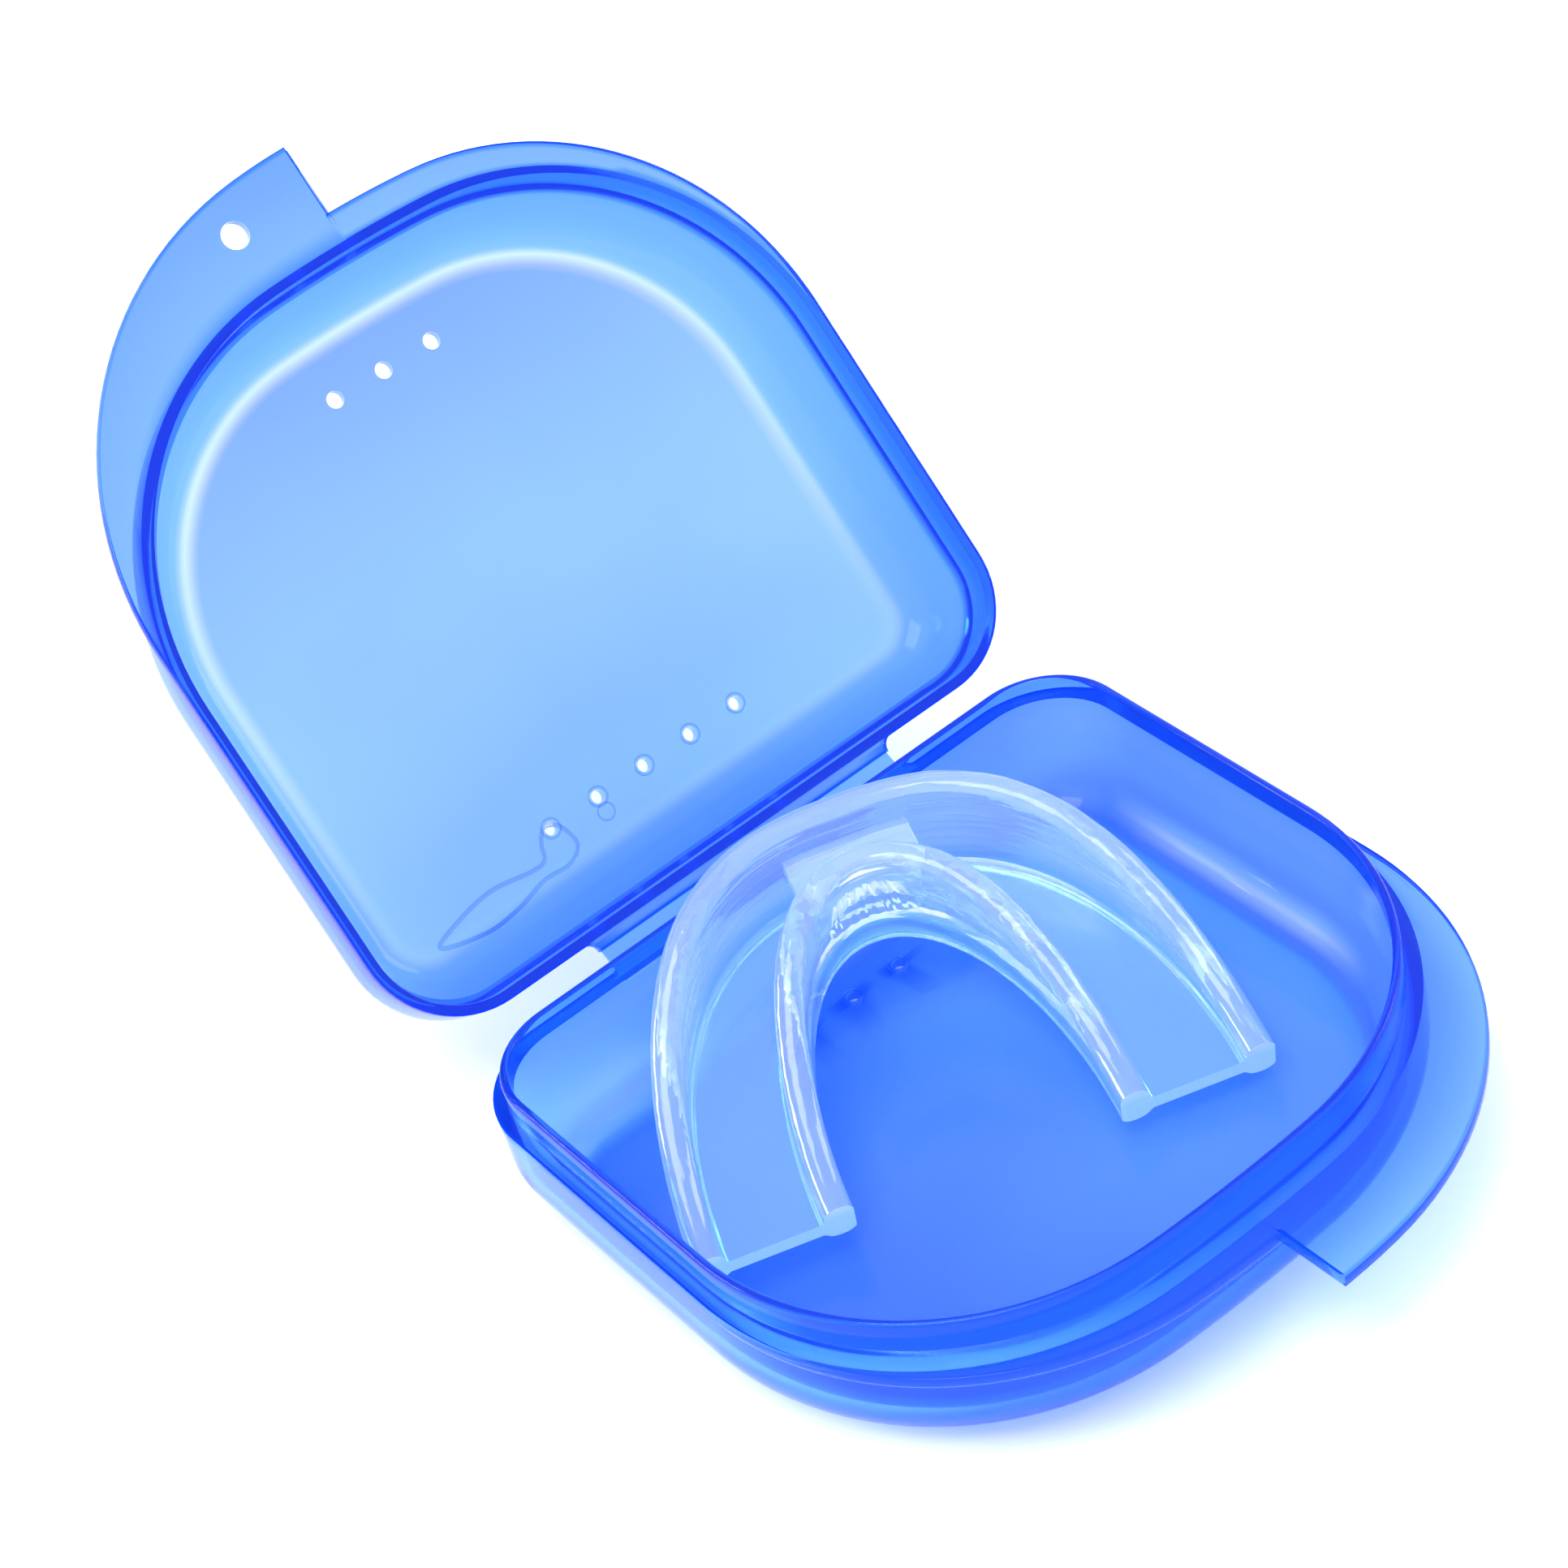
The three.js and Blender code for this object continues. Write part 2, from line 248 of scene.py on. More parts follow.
def inset_of(x, y):
    """How far a point lies inside the rim outline."""
    ax = np.abs(x)
    bow_y = RIM_FRONT - RIM_BOW
    bow = RIM_BOW - np.hypot(x, y - bow_y)
    d = np.minimum.reduce([RIM_HALF_WIDTH - ax, y - RIM_REAR, bow])
    rx, ry = RIM_HALF_WIDTH - REAR_CORNER, RIM_REAR + REAR_CORNER
    rear = REAR_CORNER - np.hypot(ax - rx, y - ry)
    d = np.where((ax > rx) & (y < ry), np.minimum(d, rear), d)
    fx = RIM_HALF_WIDTH - RIM_CORNER
    fy = bow_y + math.sqrt((RIM_BOW - RIM_CORNER) ** 2 - fx**2)
    front = RIM_CORNER - np.hypot(ax - fx, y - fy)
    return np.where((ax > fx) & (y > fy), np.minimum(d, front), d)


def local_points(made, place):
    """Every vertex of made, in millimetres in the frame it was drawn in."""
    back = np.array(in_metres(place).inverted())
    co = np.empty(len(made.data.vertices) * 3, np.float32)
    made.data.vertices.foreach_get("co", co)
    return (co.reshape(-1, 3) @ back[:3, :3].T + back[:3, 3]) / MM


def edge_distance(x, y):
    """Distance to the nearest point of the flange's outline."""
    edge = flange_ring(0)
    away = np.full(len(x), np.inf)
    for ex, ey in edge:
        away = np.minimum(away, np.hypot(x - ex, y - ey))
    return away


def depth_of(inset):
    """Height of the outside of a shell at a distance inside the rim."""
    share = np.clip(1 - inset / FLOOR_INSET, 0, 1)
    return -STRAIGHT - (DEPTH - STRAIGHT) * np.sqrt(1 - share**2)


def write_attribute(made, name, kind, field, values):
    """Puts one value for each vertex on made, for its material to read."""
    attribute = made.data.attributes.new(name, kind, "POINT")
    attribute.data.foreach_set(field, np.asarray(values, np.float32).ravel())


def paint_tint(made, place, levels):
    """Writes each vertex's colour, which differs by region partly as the plastic's thickness does
    and partly as painted light: highlight lines, shade in the vents and sides lighter or darker as
    the light falls.
    """
    x, y, z = local_points(made, place).T
    d = inset_of(x, y)
    stops = [stop for stop, _ in levels["across"]]
    channels = zip(*(colour for _, colour in levels["across"]))
    tint = np.stack([np.interp(d, stops, channel) for channel in channels], 1)

    within = d > -ON_EDGE
    below_flange = z < -FLANGE_THICK - 2 * ON_EDGE
    tint[within & (z < depth_of(d) + SKIN) & below_flange] = levels["outside"]

    lowest = np.where(d < levels["lip"], levels["rim_from"], levels["lip_from"])
    rim = within & (d < RIM_BAND) & (z > lowest)
    rim |= (d < -EDGE_APART) & (edge_distance(x, y) < OUTLINE_WIDTH)
    tint[rim] = levels["rim"]

    # Painted light: the tint leans lighter or darker across the floor and the walls, as the light
    # falls on them.
    sideways, forwards = levels["floor_shading_slope"]
    floor_shading = (
        1 + sideways * x / RIM_HALF_WIDTH + forwards * (y - RIM_FRONT / 2) / RIM_HALF_WIDTH
    )
    wall_shading = 1 + levels["wall_shading_slope"] * x / RIM_HALF_WIDTH
    on_floor = np.clip(d - FLOOR_INSET + 1, 0, 1)
    tint *= (wall_shading + (floor_shading - wall_shading) * on_floor)[:, None]

    # Painted highlights: lines blended towards white below the flange.
    painted_highlight = levels["painted_highlight"](x, y, d) * (z < -FLANGE_THICK)
    tint += (1 - tint) * painted_highlight[:, None]
    # Painted shade: the vents' holes and the plastic round them are painted dark.
    for vx, vy, radius in levels["shaded_vents"]:
        tint[np.hypot(x - vx, y - vy) < radius + ON_EDGE] = VENT_SHADE_TINT
    blue_and_alpha = np.ones((len(tint), 2))
    write_attribute(made, "tint", "FLOAT_COLOR", "color", np.c_[tint, blue_and_alpha].clip(0, 1))


def combine(made, other, operation):
    """Takes other out of made or joins it on, for good, and removes it."""
    modifier = made.modifiers.new("combine", "BOOLEAN")
    modifier.operation = operation
    modifier.solver = "EXACT"
    modifier.object = other
    result = bpy.data.meshes.new_from_object(
        made.evaluated_get(bpy.context.evaluated_depsgraph_get())
    )
    made.modifiers.clear()
    made.data = result
    bpy.data.objects.remove(other)


def add_to(made, other):
    """Adds other's faces to made as they are, and removes it."""
    bm = bmesh.new()
    bm.from_mesh(made.data)
    bm.from_mesh(other.data)
    bm.to_mesh(made.data)
    bm.free()
    bpy.data.objects.remove(other)


def circle(x, y, radius, sides):
    return arc(x, y, radius, 0, 2 * math.pi, sides)[:-1]


def drill(made, spots, bottom, top, place, material):
    """Cuts round upright holes, each given as x, y and radius."""
    sides = HOLE_SIDES
    verts, faces = [], []
    for x, y, radius in spots:
        start = len(verts)
        for z in (bottom, top):
            verts += [tuple(p) + (z,) for p in circle(x, y, radius, sides)]
        faces += band(start, start + sides, sides)
        faces.append(tuple(start + i for i in range(sides))[::-1])
        faces.append(tuple(start + sides + i for i in range(sides)))
    combine(made, make_object("cutter", verts, faces, material, place), "DIFFERENCE")


# ---- the case's colours ----


def bump(distance, width):
    """A smooth hump of unit height, width wide to each side."""
    return np.exp(-((distance / width) ** 2))


def between(value, low, high, soft):
    """1 from low to high, with soft ends."""
    return np.clip((value - low) / soft, 0, 1) * np.clip((high - value) / soft, 0, 1)


def lid_painted_highlight_line(x, y, d):
    """A painted highlight: the thin bright line at the edge of the floor, strongest at the front.
    """
    return bump(d - 6.5, 0.5) * np.clip(0.12 + 0.47 * (y - 10) / 55, 0.12, 0.55)


def base_painted_highlight_lines(x, y, d):
    """Painted highlights: the bright line along the wall at -x, and a fainter one on the rear wall
    at +x.
    """
    side = bump(d - 3.9, 0.5) * (x < -25) * between(y, 12, 52, 9)
    rear = bump(d - 3.0, 0.5) * (y < 12) * between(x, 6, 34, 8)
    return 0.95 * side + 0.4 * rear


# Each tint is its red and green. "across" gives it against the distance inside the rim, from the
# flange to the floor; "rim" is for the rim and the outlines, and "outside" for the bowl's outside.
# The rim's tint starts at height "rim_from" within "lip" of the edge, and at "lip_from" past it.
# The floor's slope leans the tint along x and y, and the wall's along x: painted light, making one
# side or end lighter or darker as the light falls. The highlight lines are painted highlights, and
# the vents are painted dark as painted shade.
LID_TINT = {
    "across": [
        (-9, (0.13, 0.26)), (-5, (0.15, 0.29)), (-0.1, (0.17, 0.32)), (0.1, (0.16, 0.32)),
        (2.5, (0.17, 0.31)), (5.4, (0.22, 0.37)), (6.6, (0.40, 0.46)), (8.2, (0.455, 0.465)),
    ],
    "rim": (0.03, 0.15), "outside": (0.12, 0.34),
    "lip": 2.6, "rim_from": -4.5, "lip_from": -4.5,
    "floor_shading_slope": (0.0, -0.42), "wall_shading_slope": 0.0,
    "painted_highlight": lid_painted_highlight_line, "shaded_vents": [],
}
BASE_TINT = {
    "across": [
        # Out on the tab the tint is the plastic's own, made paler by painted light that lifts the
        # shadow the base casts under the tab.
        (-11, (0.46, 0.72)), (-4, (0.27, 0.55)), (-0.1, (0.20, 0.44)), (0.1, (0.2, 0.42)),
        (2.5, (0.27, 0.42)), (5.0, (0.31, 0.46)), (9.0, (0.61, 0.585)),
    ],
    "rim": (0.11, 0.34), "outside": (0.18, 0.45),
    "lip": 1.9, "rim_from": -0.2, "lip_from": 2.3,
    "floor_shading_slope": (-0.26, -0.12), "wall_shading_slope": 0.28,
    "painted_highlight": base_painted_highlight_lines, "shaded_vents": BASE_VENTS,
}
# Painted shade for the vents.
VENT_SHADE_TINT = (0.08, 0.24)
FILM_TINT = (0.22, 0.45, 1.0, 1.0)
RIM_BAND = 2.6  # the rim's tint reaches this far in
SKIN = 0.4  # vertices this close to the outside surface count as outside
ON_EDGE = 0.05  # slack for a vertex that lies on an edge
EDGE_APART = 0.3  # where the flange is narrower, its outline isn't drawn


# ---- the case shells ----


FLAT_FROM, FLAT_SHARES = OUTLINE_WIDTH + 0.2, (0, 0.2, 0.4, 0.6, 0.8)


def lift(ring, z):
    return np.c_[ring, np.full(len(ring), z)]


def floor_rings(z, shares, relief=None):
    """Rings shrinking towards the middle of the floor, with small relief on them."""
    edge = rim_ring(FLOOR_INSET)
    middle = np.array([0.0, (RIM_REAR + RIM_FRONT) / 2])
    rings = []
    for share in shares:
        ring = lift(middle + (edge - middle) * share, z)
        if relief is not None:
            ring[:, 2] += relief(ring[:, 0], ring[:, 1])
        rings.append(ring)
    return rings


def flat_flange_rings(inset):
    """Rings across the flat of the flange, from just inside its edge towards the rim at inset."""
    edge, rim = tucked_flange_ring(FLAT_FROM), rim_ring(inset)
    return [edge + (rim - edge) * share for share in FLAT_SHARES]


def outer_rings():
    """From the middle of the underside up the outside to the top of the flange."""
    rings = floor_rings(-DEPTH, (0.3, 0.7, 0.97))
    for t in np.radians(np.linspace(0, 90, 13)):
        d = FLOOR_INSET * (1 - math.sin(t))
        z = -STRAIGHT - (DEPTH - STRAIGHT) * math.cos(t)
        rings.append(lift(rim_ring(d), z))
    below = -FLANGE_THICK
    rings += [lift(rim_ring(0), z) for z in (-3.6, below - 0.3, below - 0.02)]
    rings += [lift(ring, below) for ring in flat_flange_rings(0)[::-1]]
    rings += [
        lift(tucked_flange_ring(EDGE_ROUND), below),
        lift(tucked_flange_ring(EDGE_MIDDLE), below + EDGE_MIDDLE),
        lift(flange_ring(0), below + EDGE_ROUND),
        lift(flange_ring(0), -EDGE_ROUND),
        lift(flange_ring(EDGE_MIDDLE), -EDGE_MIDDLE),
        lift(flange_ring(EDGE_ROUND), 0),
    ]
    return rings + [lift(ring, 0) for ring in flat_flange_rings(LIP_INSET - 0.6)]


def inner_wall_rings(wall, top):
    """Down the inside from top to the edge of the floor."""
    rings = [lift(rim_ring(wall), z) for z in (top, (top - STRAIGHT) / 2)]
    for t in np.radians(np.linspace(90, 0, 13)):
        d = FLOOR_INSET - (FLOOR_INSET - wall) * math.sin(t)
        z = -STRAIGHT - (DEPTH - FLOOR - STRAIGHT) * math.cos(t)
        rings.append(lift(rim_ring(d), z))
    return rings


VENT_SINK, SINK_AWAY, SINK_WIDTH = 0.1, 1.2, 0.9


def vent_relief(x, y, vents):
    """A shallow sink round each vent."""
    z = np.zeros_like(x)
    for vx, vy, radius in vents:
        z -= VENT_SINK * bump(np.hypot(x - vx, y - vy) - radius - SINK_AWAY, SINK_WIDTH)
    return z


def floor_height(x, y, wall):
    """Height of the inside of a shell, on the floor and on its fillet."""
    share = np.clip((FLOOR_INSET - inset_of(x, y)) / (FLOOR_INSET - wall), 0, 1)
    return -STRAIGHT - (DEPTH - FLOOR - STRAIGHT) * np.sqrt(1 - share**2)


# A frozen flow mark on the lid's floor: a leaf that starts from the first rear vent, and a blob
# by the second.
LEAF_MARK = np.array([
    (-11.7, 13.1), (-11.1, 10.5), (-13.0, 9.2), (-16.3, 9.3), (-20.3, 8.4), (-24.6, 8.2),
    (-29.6, 9.65), (-25.2, 11.1), (-21.3, 11.5), (-17.0, 10.8), (-15.1, 11.0), (-14.4, 12.6),
    (-13.2, 13.9),
])
LEAF_STEPS = 8
BLOB_MARK = (-6.5, 11.6, 0.95)
LEAF_LINE, COLLAR_LINE = 0.24, 0.11  # radius of a raised line
COLLAR_GAP = 0.32
LINE_LIFT, LINE_FLATNESS = 0.02, 0.8
LINE_SIDES, CIRCLE_SIDES, HOLE_SIDES = 8, 28, 32


def smooth_loop(points, steps):
    """A closed Catmull-Rom curve through the points, with steps points for each of them."""
    count = len(points)
    loop = []
    for k in range(count):
        a, b, c, d = (points[(k + i) % count] for i in (-1, 0, 1, 2))
        for t in np.linspace(0, 1, steps, endpoint=False):
            squared = (2 * a - 5 * b + 4 * c - d) * t**2
            cubed = (3 * b - a - 3 * c + d) * t**3
            loop.append(0.5 * (2 * b + (c - a) * t + squared + cubed))
    return np.array(loop)


def raised_lines(loops, wall, place, material):
    """Round closed lines half sunk in the floor, each a loop of x and y with its radius."""
    verts, faces = [], []
    for loop, radius in loops:
        start, count = len(verts), len(loop)
        along = np.roll(loop, -1, axis=0) - np.roll(loop, 1, axis=0)
        side = np.c_[along[:, 1], -along[:, 0]] / np.linalg.norm(along, axis=1)[:, None]
        height = floor_height(loop[:, 0], loop[:, 1], wall)
        for k in range(count):
            for turn in np.linspace(0, 2 * math.pi, LINE_SIDES, endpoint=False):
                out = loop[k] + side[k] * radius * math.cos(turn)
                z = height[k] + LINE_LIFT + LINE_FLATNESS * radius * math.sin(turn)
                verts.append((out[0], out[1], z))
        for k in range(count):
            following = (k + 1) % count
            faces += band(start + k * LINE_SIDES, start + following * LINE_SIDES, LINE_SIDES)
    return make_object("lines", verts, faces, material, place)


def ring_line(x, y, radius):
    return circle(x, y, radius, CIRCLE_SIDES), COLLAR_LINE


def collars(vents):
    return [ring_line(x, y, radius + COLLAR_GAP) for x, y, radius in vents]


def gentle_waves(x, y, seed):
    """The slight unevenness of a moulded floor."""
    a = np.sin(x * 0.11 + seed) * np.cos(y * 0.09 + 1.7 * seed)
    b = np.sin((x + y) * 0.071 + 2.3 * seed)
    return 0.035 * a + 0.03 * b


def lid_floor_relief(x, y):
    return vent_relief(x, y, LID_VENTS) + gentle_waves(x, y, 0.6)


def base_floor_relief(x, y):
    return vent_relief(x, y, BASE_VENTS) + gentle_waves(x, y, 2.1)


def faded(relief):
    """The relief, fading out at the edge of the floor so that it meets the fillet."""
    def inside(x, y):
        edge = np.minimum.reduce([
            RIM_HALF_WIDTH - FLOOR_INSET - np.abs(x),
            y - RIM_REAR - FLOOR_INSET,
            RIM_FRONT - FLOOR_INSET - y,
        ])
        return relief(x, y) * np.clip(edge / RELIEF_FADE, 0, 1)
    return inside


RELIEF_FADE = 1.2
FINE_SHARES = np.linspace(0.985, 0.03, 64)  # sizes of the rings on the inside of the floor
PAST_FLOOR, PAST_FLANGE = 1, 3  # how far the holes' cutters stick out


def shell(name, rings, relief, place, material):
    """A shell closed by its floor, and its place with the rims' clearance."""
    rings = rings + floor_rings(FLOOR - DEPTH, FINE_SHARES, faded(relief))
    middle = (0.0, (RIM_REAR + RIM_FRONT) / 2)
    verts, faces = loft_mesh(rings, middle + (-DEPTH,), middle + (FLOOR - DEPTH,))
    lowered = place @ Matrix.Translation((0, 0, -RIM_CLEARANCE))
    return make_object(name, verts, faces, material, lowered), lowered


def drill_floor(made, vents, place, material):
    drill(made, vents, -DEPTH - PAST_FLOOR, FLOOR - DEPTH + PAST_FLOOR, place, material)


def build_base(material):
    """The base: the lip stands up inside the flange."""
    out, wall, top = LIP_INSET, BASE_WALL, LIP_HEIGHT
    profile = [
        (out - 0.25, 0), (out - 0.07, 0.07), (out, 0.25),
        (out, top - 0.45), (out + 0.06, top - 0.22), (out + 0.2, top - 0.06),
        ((out + wall) / 2, top), (wall - 0.2, top - 0.06), (wall - 0.06, top - 0.22),
    ]
    rings = outer_rings() + [lift(rim_ring(d), z) for d, z in profile]
    rings += inner_wall_rings(wall, top - 0.45)
    made, place = shell("base_shell_clear", rings, base_floor_relief, BASE_PLACE, material)
    drill_floor(made, BASE_VENTS, place, material)
    add_to(made, raised_lines(collars(BASE_VENTS), BASE_WALL, place, material))
    smooth_by_angle(made, CASE_CREASE)
    paint_tint(made, place, BASE_TINT)
    return made


def build_lid(material):
    """The lid: a recess inside the flange takes the base's lip."""
    out, wall, ledge = RECESS_INSET, LID_WALL, -RECESS_DEPTH
    profile = [
        (out - 0.2, 0), (out - 0.06, -0.06), (out, -0.2),
        (out, ledge + 0.2), (out + 0.06, ledge + 0.06), (out + 0.2, ledge),
        (wall - 0.2, ledge), (wall - 0.06, ledge - 0.06),
    ]
    rings = outer_rings() + [lift(rim_ring(d), z) for d, z in profile]
    rings += inner_wall_rings(wall, ledge - 0.2)
    made, place = shell("lid_shell_clear", rings, lid_floor_relief, LID_PLACE, material)
    drill_floor(made, LID_VENTS, place, material)
    drill(made, [LANYARD], -PAST_FLANGE, PAST_FLANGE, place, material)
    lines = collars(LID_REAR_VENTS)
    lines.append((smooth_loop(LEAF_MARK, LEAF_STEPS), LEAF_LINE))
    lines.append(ring_line(*BLOB_MARK))
    add_to(made, raised_lines(lines, LID_WALL, place, material))
    smooth_by_angle(made, CASE_CREASE)
    paint_tint(made, place, LID_TINT)
    return made


# How deep the film lies below the rims, how far it reaches into each leaf, how far it sags.
FILM_DROP, FILM_REACH, FILM_SAG = 0.75, 0.25, 0.22
FILM_THICK, FILM_SHORT, FILM_STEPS = 0.42, 0.15, 14


def build_film(material):
    """The living hinge: a thin strip from one leaf to the other, sagging a little between them."""
    root = Vector((0, LEAF_REACH, -RIM_CLEARANCE - FILM_DROP)) + Vector((0, FILM_REACH, 0))
    start, end = BASE_PLACE @ root, LID_PLACE @ root
    across = np.linspace(-LEAF_HALF + FILM_SHORT, LEAF_HALF - FILM_SHORT, 40)
    path = []
    for k in range(FILM_STEPS + 1):
        t = k / FILM_STEPS
        p = start.lerp(end, t)
        p.z -= FILM_SAG * math.sin(math.pi * t)
        path.append(p)
    section = []
    for side in (1, -1):
        for k in range(FILM_STEPS + 1)[::side]:
            a, b = path[max(k - 1, 0)], path[min(k + 1, FILM_STEPS)]
            along = (b - a).normalized()
            normal = Vector((0, -along.z, along.y)) * (FILM_THICK / 2 * side)
            section.append(path[k] + normal)
    rings = [[(x, p.y, p.z) for p in section] for x in across]
    first = sum(section, Vector()) / len(section)
    caps = [(x, first.y, first.z) for x in (across[0], across[-1])]
    verts, faces = loft_mesh(rings, *caps)
    made = make_object("hinge_film_clear", verts, faces, material)
    smooth_by_angle(made, FILM_CREASE)
    write_attribute(made, "tint", "FLOAT_COLOR", "color", FILM_TINT * len(made.data.vertices))
    return made, start, end


# ---- the mouthguard ----

# The arches of the outer and inner face: half width, length and how square the curve is.
GUARD_OUT = (29.8, 39.6, 2.5)
GUARD_IN = (13.7, 30.8, 2.05)
WALL = 3.0
PLATE = 1.8
# Heights of the walls at the leg ends and at the front, over and under the plate's top.
OUTER_TOP, INNER_TOP = (1.8, 11.4), (1.9, 10.0)
OUTER_FOOT, INNER_FOOT = (-2.7, -3.6), (-2.7, -3.8)
CROWN_RISE, FOOT_RISE = 1.1, 0.8
BRIDGE_HALF, BRIDGE_LOW, BRIDGE_HIGH = 6.6, 5.7, 7.4
SLOT_HALF, SLOT_LOW, SLOT_HIGH = 4.9, 1.4, 4.4
GUARD_TURN = Matrix.Rotation(math.radians(-19.5), 4, "Z")
GUARD_TILT = Matrix.Rotation(math.radians(12), 4, "X") @ Matrix.Rotation(math.radians(2), 4, "Y")
GUARD_PLACE = Matrix.Translation((-7.6, HINGE.y - 44.5, 5.4)) @ GUARD_TURN @ GUARD_TILT
STATIONS = 200
BRIDGE_REACH = 0.5  # into each wall
BRIDGE_SPAN = 0.8  # angle from each end of the arch at which the bridge's outline starts
CUT_FACING = 0.95  # a face turned this far to -y at the leg ends is a cut end


def arch_point(shape, angle):
    """A point of an arch, from its +x end at angle 0 round to its -x end."""
    half, length, bend = shape
    c = math.cos(angle)
    return np.array([math.copysign(abs(c) ** (2 / bend) * half, c), length * math.sin(angle)])


def arch_points(angle):
    """The outer and inner arch's points, the direction from inner to outer and their distance."""
    out, inn = arch_point(GUARD_OUT, angle), arch_point(GUARD_IN, angle)
    width = np.linalg.norm(out - inn)
    return out, inn, (out - inn) / width, width


def level(ends, y, length):
    """A height between that of the leg ends and that of the front."""
    s = min(max(y / length, 0.0), 1.0)
    return ends[0] + (ends[1] - ends[0]) * s * s * (3 - 2 * s)


def guard_section(width, heights):
    """The cross-section as points of (distance from the inner face, height), in order."""
    outer_top, inner_top, outer_foot, inner_foot = heights
    a, b = WALL, width - WALL

    def rounded(middle, height, rise, turns):
        """The rounded edge of a wall: a top from left to right, or a foot from right to left."""
        sign = 1 if rise > 0 else -1
        return [
            (middle - sign * WALL / 2 * math.cos(t), height - rise + rise * math.sin(t))
            for t in np.linspace(0, math.pi, turns)
        ]

    return np.array([
        *rounded(a / 2, inner_top, CROWN_RISE, 11),
        (a, 0.55), (a + 0.16, 0.16), (a + 0.55, 0),
        *((a + (b - a) * share, 0) for share in (0.25, 0.5, 0.75)),
        (b - 0.55, 0), (b - 0.16, 0.16), (b, 0.55),
        *rounded((b + width) / 2, outer_top, CROWN_RISE, 11),
        *rounded((b + width) / 2, outer_foot, -FOOT_RISE, 9),
        (b, -PLATE - 0.3), (b - 0.3, -PLATE),
        *((a + (b - a) * share, -PLATE) for share in (0.7, 0.3)),
        (a + 0.3, -PLATE), (a, -PLATE - 0.3),
        *rounded(a / 2, inner_foot, -FOOT_RISE, 9),
    ])


def build_guard(material, cut_material):
    """One moulding: outer wall, plate and inner wall in one sweep, and the bridge at the front."""
    rings = []
    out_length, in_length = GUARD_OUT[1], GUARD_IN[1] + WALL
    for angle in np.linspace(0, math.pi, STATIONS + 1):
        out, inn, away, width = arch_points(angle)
        section = guard_section(width, (
            level(OUTER_TOP, out[1], out_length), level(INNER_TOP, inn[1], in_length),
            level(OUTER_FOOT, out[1], out_length), level(INNER_FOOT, inn[1], in_length),
        ))
        across, height = section.T
        wobble = 0.03 * np.sin(angle * 23 + height * 0.8) + 0.01 * np.sin(angle * 61 + across)
        above_plate = height > 0.3
        rings.append(np.c_[inn + away * across[:, None], height + wobble * above_plate])
    verts, faces = joined_rings(rings)
    count = len(rings[0])
    faces.append(tuple(range(count)))
    faces.append(tuple(range(len(verts) - count, len(verts))))
    made = make_object("mouthguard_clear", verts, faces, material)
    combine(made, slot_cutter(material), "DIFFERENCE")
    combine(made, front_bridge(material), "UNION")
    paint_flow(made)
    made.data.materials.append(cut_material)
    for face in made.data.polygons:
        if face.normal.y < -CUT_FACING and face.center.y < ON_EDGE * MM:
            face.material_index = 1
    made.data.transform(in_metres(GUARD_PLACE))
    smooth_by_angle(made, GUARD_CREASE)
    return made


def front_bridge(material):
    """The slab between the walls at the front, reaching a little into both."""
    start = WALL - BRIDGE_REACH
    near, far = [], []
    for angle in np.linspace(BRIDGE_SPAN, math.pi - BRIDGE_SPAN, 90):
        out, inn, away, _ = arch_points(angle)
        near.append(inn + away * start)
        far.append(out - away * start)
    near, far = np.array(near)[::-1], np.array(far)[::-1]
    rings = []
    for x in np.linspace(-BRIDGE_HALF, BRIDGE_HALF, 29):
        front = np.interp(x, near[:, 0], near[:, 1])
        back = np.interp(x, far[:, 0], far[:, 1])
        rings.append([(x, y, z) for y, z in (
            (front, BRIDGE_LOW), (back, BRIDGE_LOW), (back, BRIDGE_HIGH), (front, BRIDGE_HIGH),
        )])
    caps = [tuple(np.mean(ring, axis=0)) for ring in (rings[0], rings[-1])]
    return make_object("bridge", *loft_mesh(rings, *caps), material)


def paint_flow(made):
    """Writes how far each vertex is along, across and up the guard, for lengthwise streaks."""
    x, y, z = local_points(made, Matrix.Identity(4)).T
    half, length, bend = GUARD_OUT
    along = np.arctan2(y / length, x / half) * half
    across = ((np.abs(x) / half) ** bend + (np.abs(y) / length) ** bend) ** (1 / bend) * half
    write_attribute(made, "flow", "FLOAT_VECTOR", "vector", np.c_[along, across, z])


def slot_cutter(material):
    """The breathing slot through the inner wall, ragged at its edges as if trimmed by hand."""
    xs = np.linspace(-SLOT_HALF, SLOT_HALF, 41)
    share = np.abs(xs) / SLOT_HALF
    ragged = 0.22 * np.sin(xs * 5.1) + 0.16 * np.sin(xs * 11.7 + 1) + 0.1 * np.sin(xs * 23 + 2)
    closing = np.sqrt(np.maximum(1 - share**4, 0))
    middle = (SLOT_LOW + SLOT_HIGH) / 2
    half = (SLOT_HIGH - SLOT_LOW) / 2
    high = middle + (half + ragged * 0.7) * closing + 0.05
    low = middle - (half - ragged * 0.5) * closing - 0.05
    outline = [(x, z) for x, z in zip(xs, low)] + [(x, z) for x, z in zip(xs[::-1], high[::-1])]
    ends = (GUARD_IN[1] - 9, GUARD_IN[1] + 5)
    rings = [[(x, y, z) for x, z in outline] for y in ends]
    verts, faces = loft_mesh(rings, *((0, y, middle) for y in ends))
    return make_object("cutter", verts, faces, material)


# ---- materials ----


def new_material(name):
    material = bpy.data.materials.new(name)
    material.use_nodes = True
    nodes, links = material.node_tree.nodes, material.node_tree.links
    nodes.clear()
    return material, nodes, links


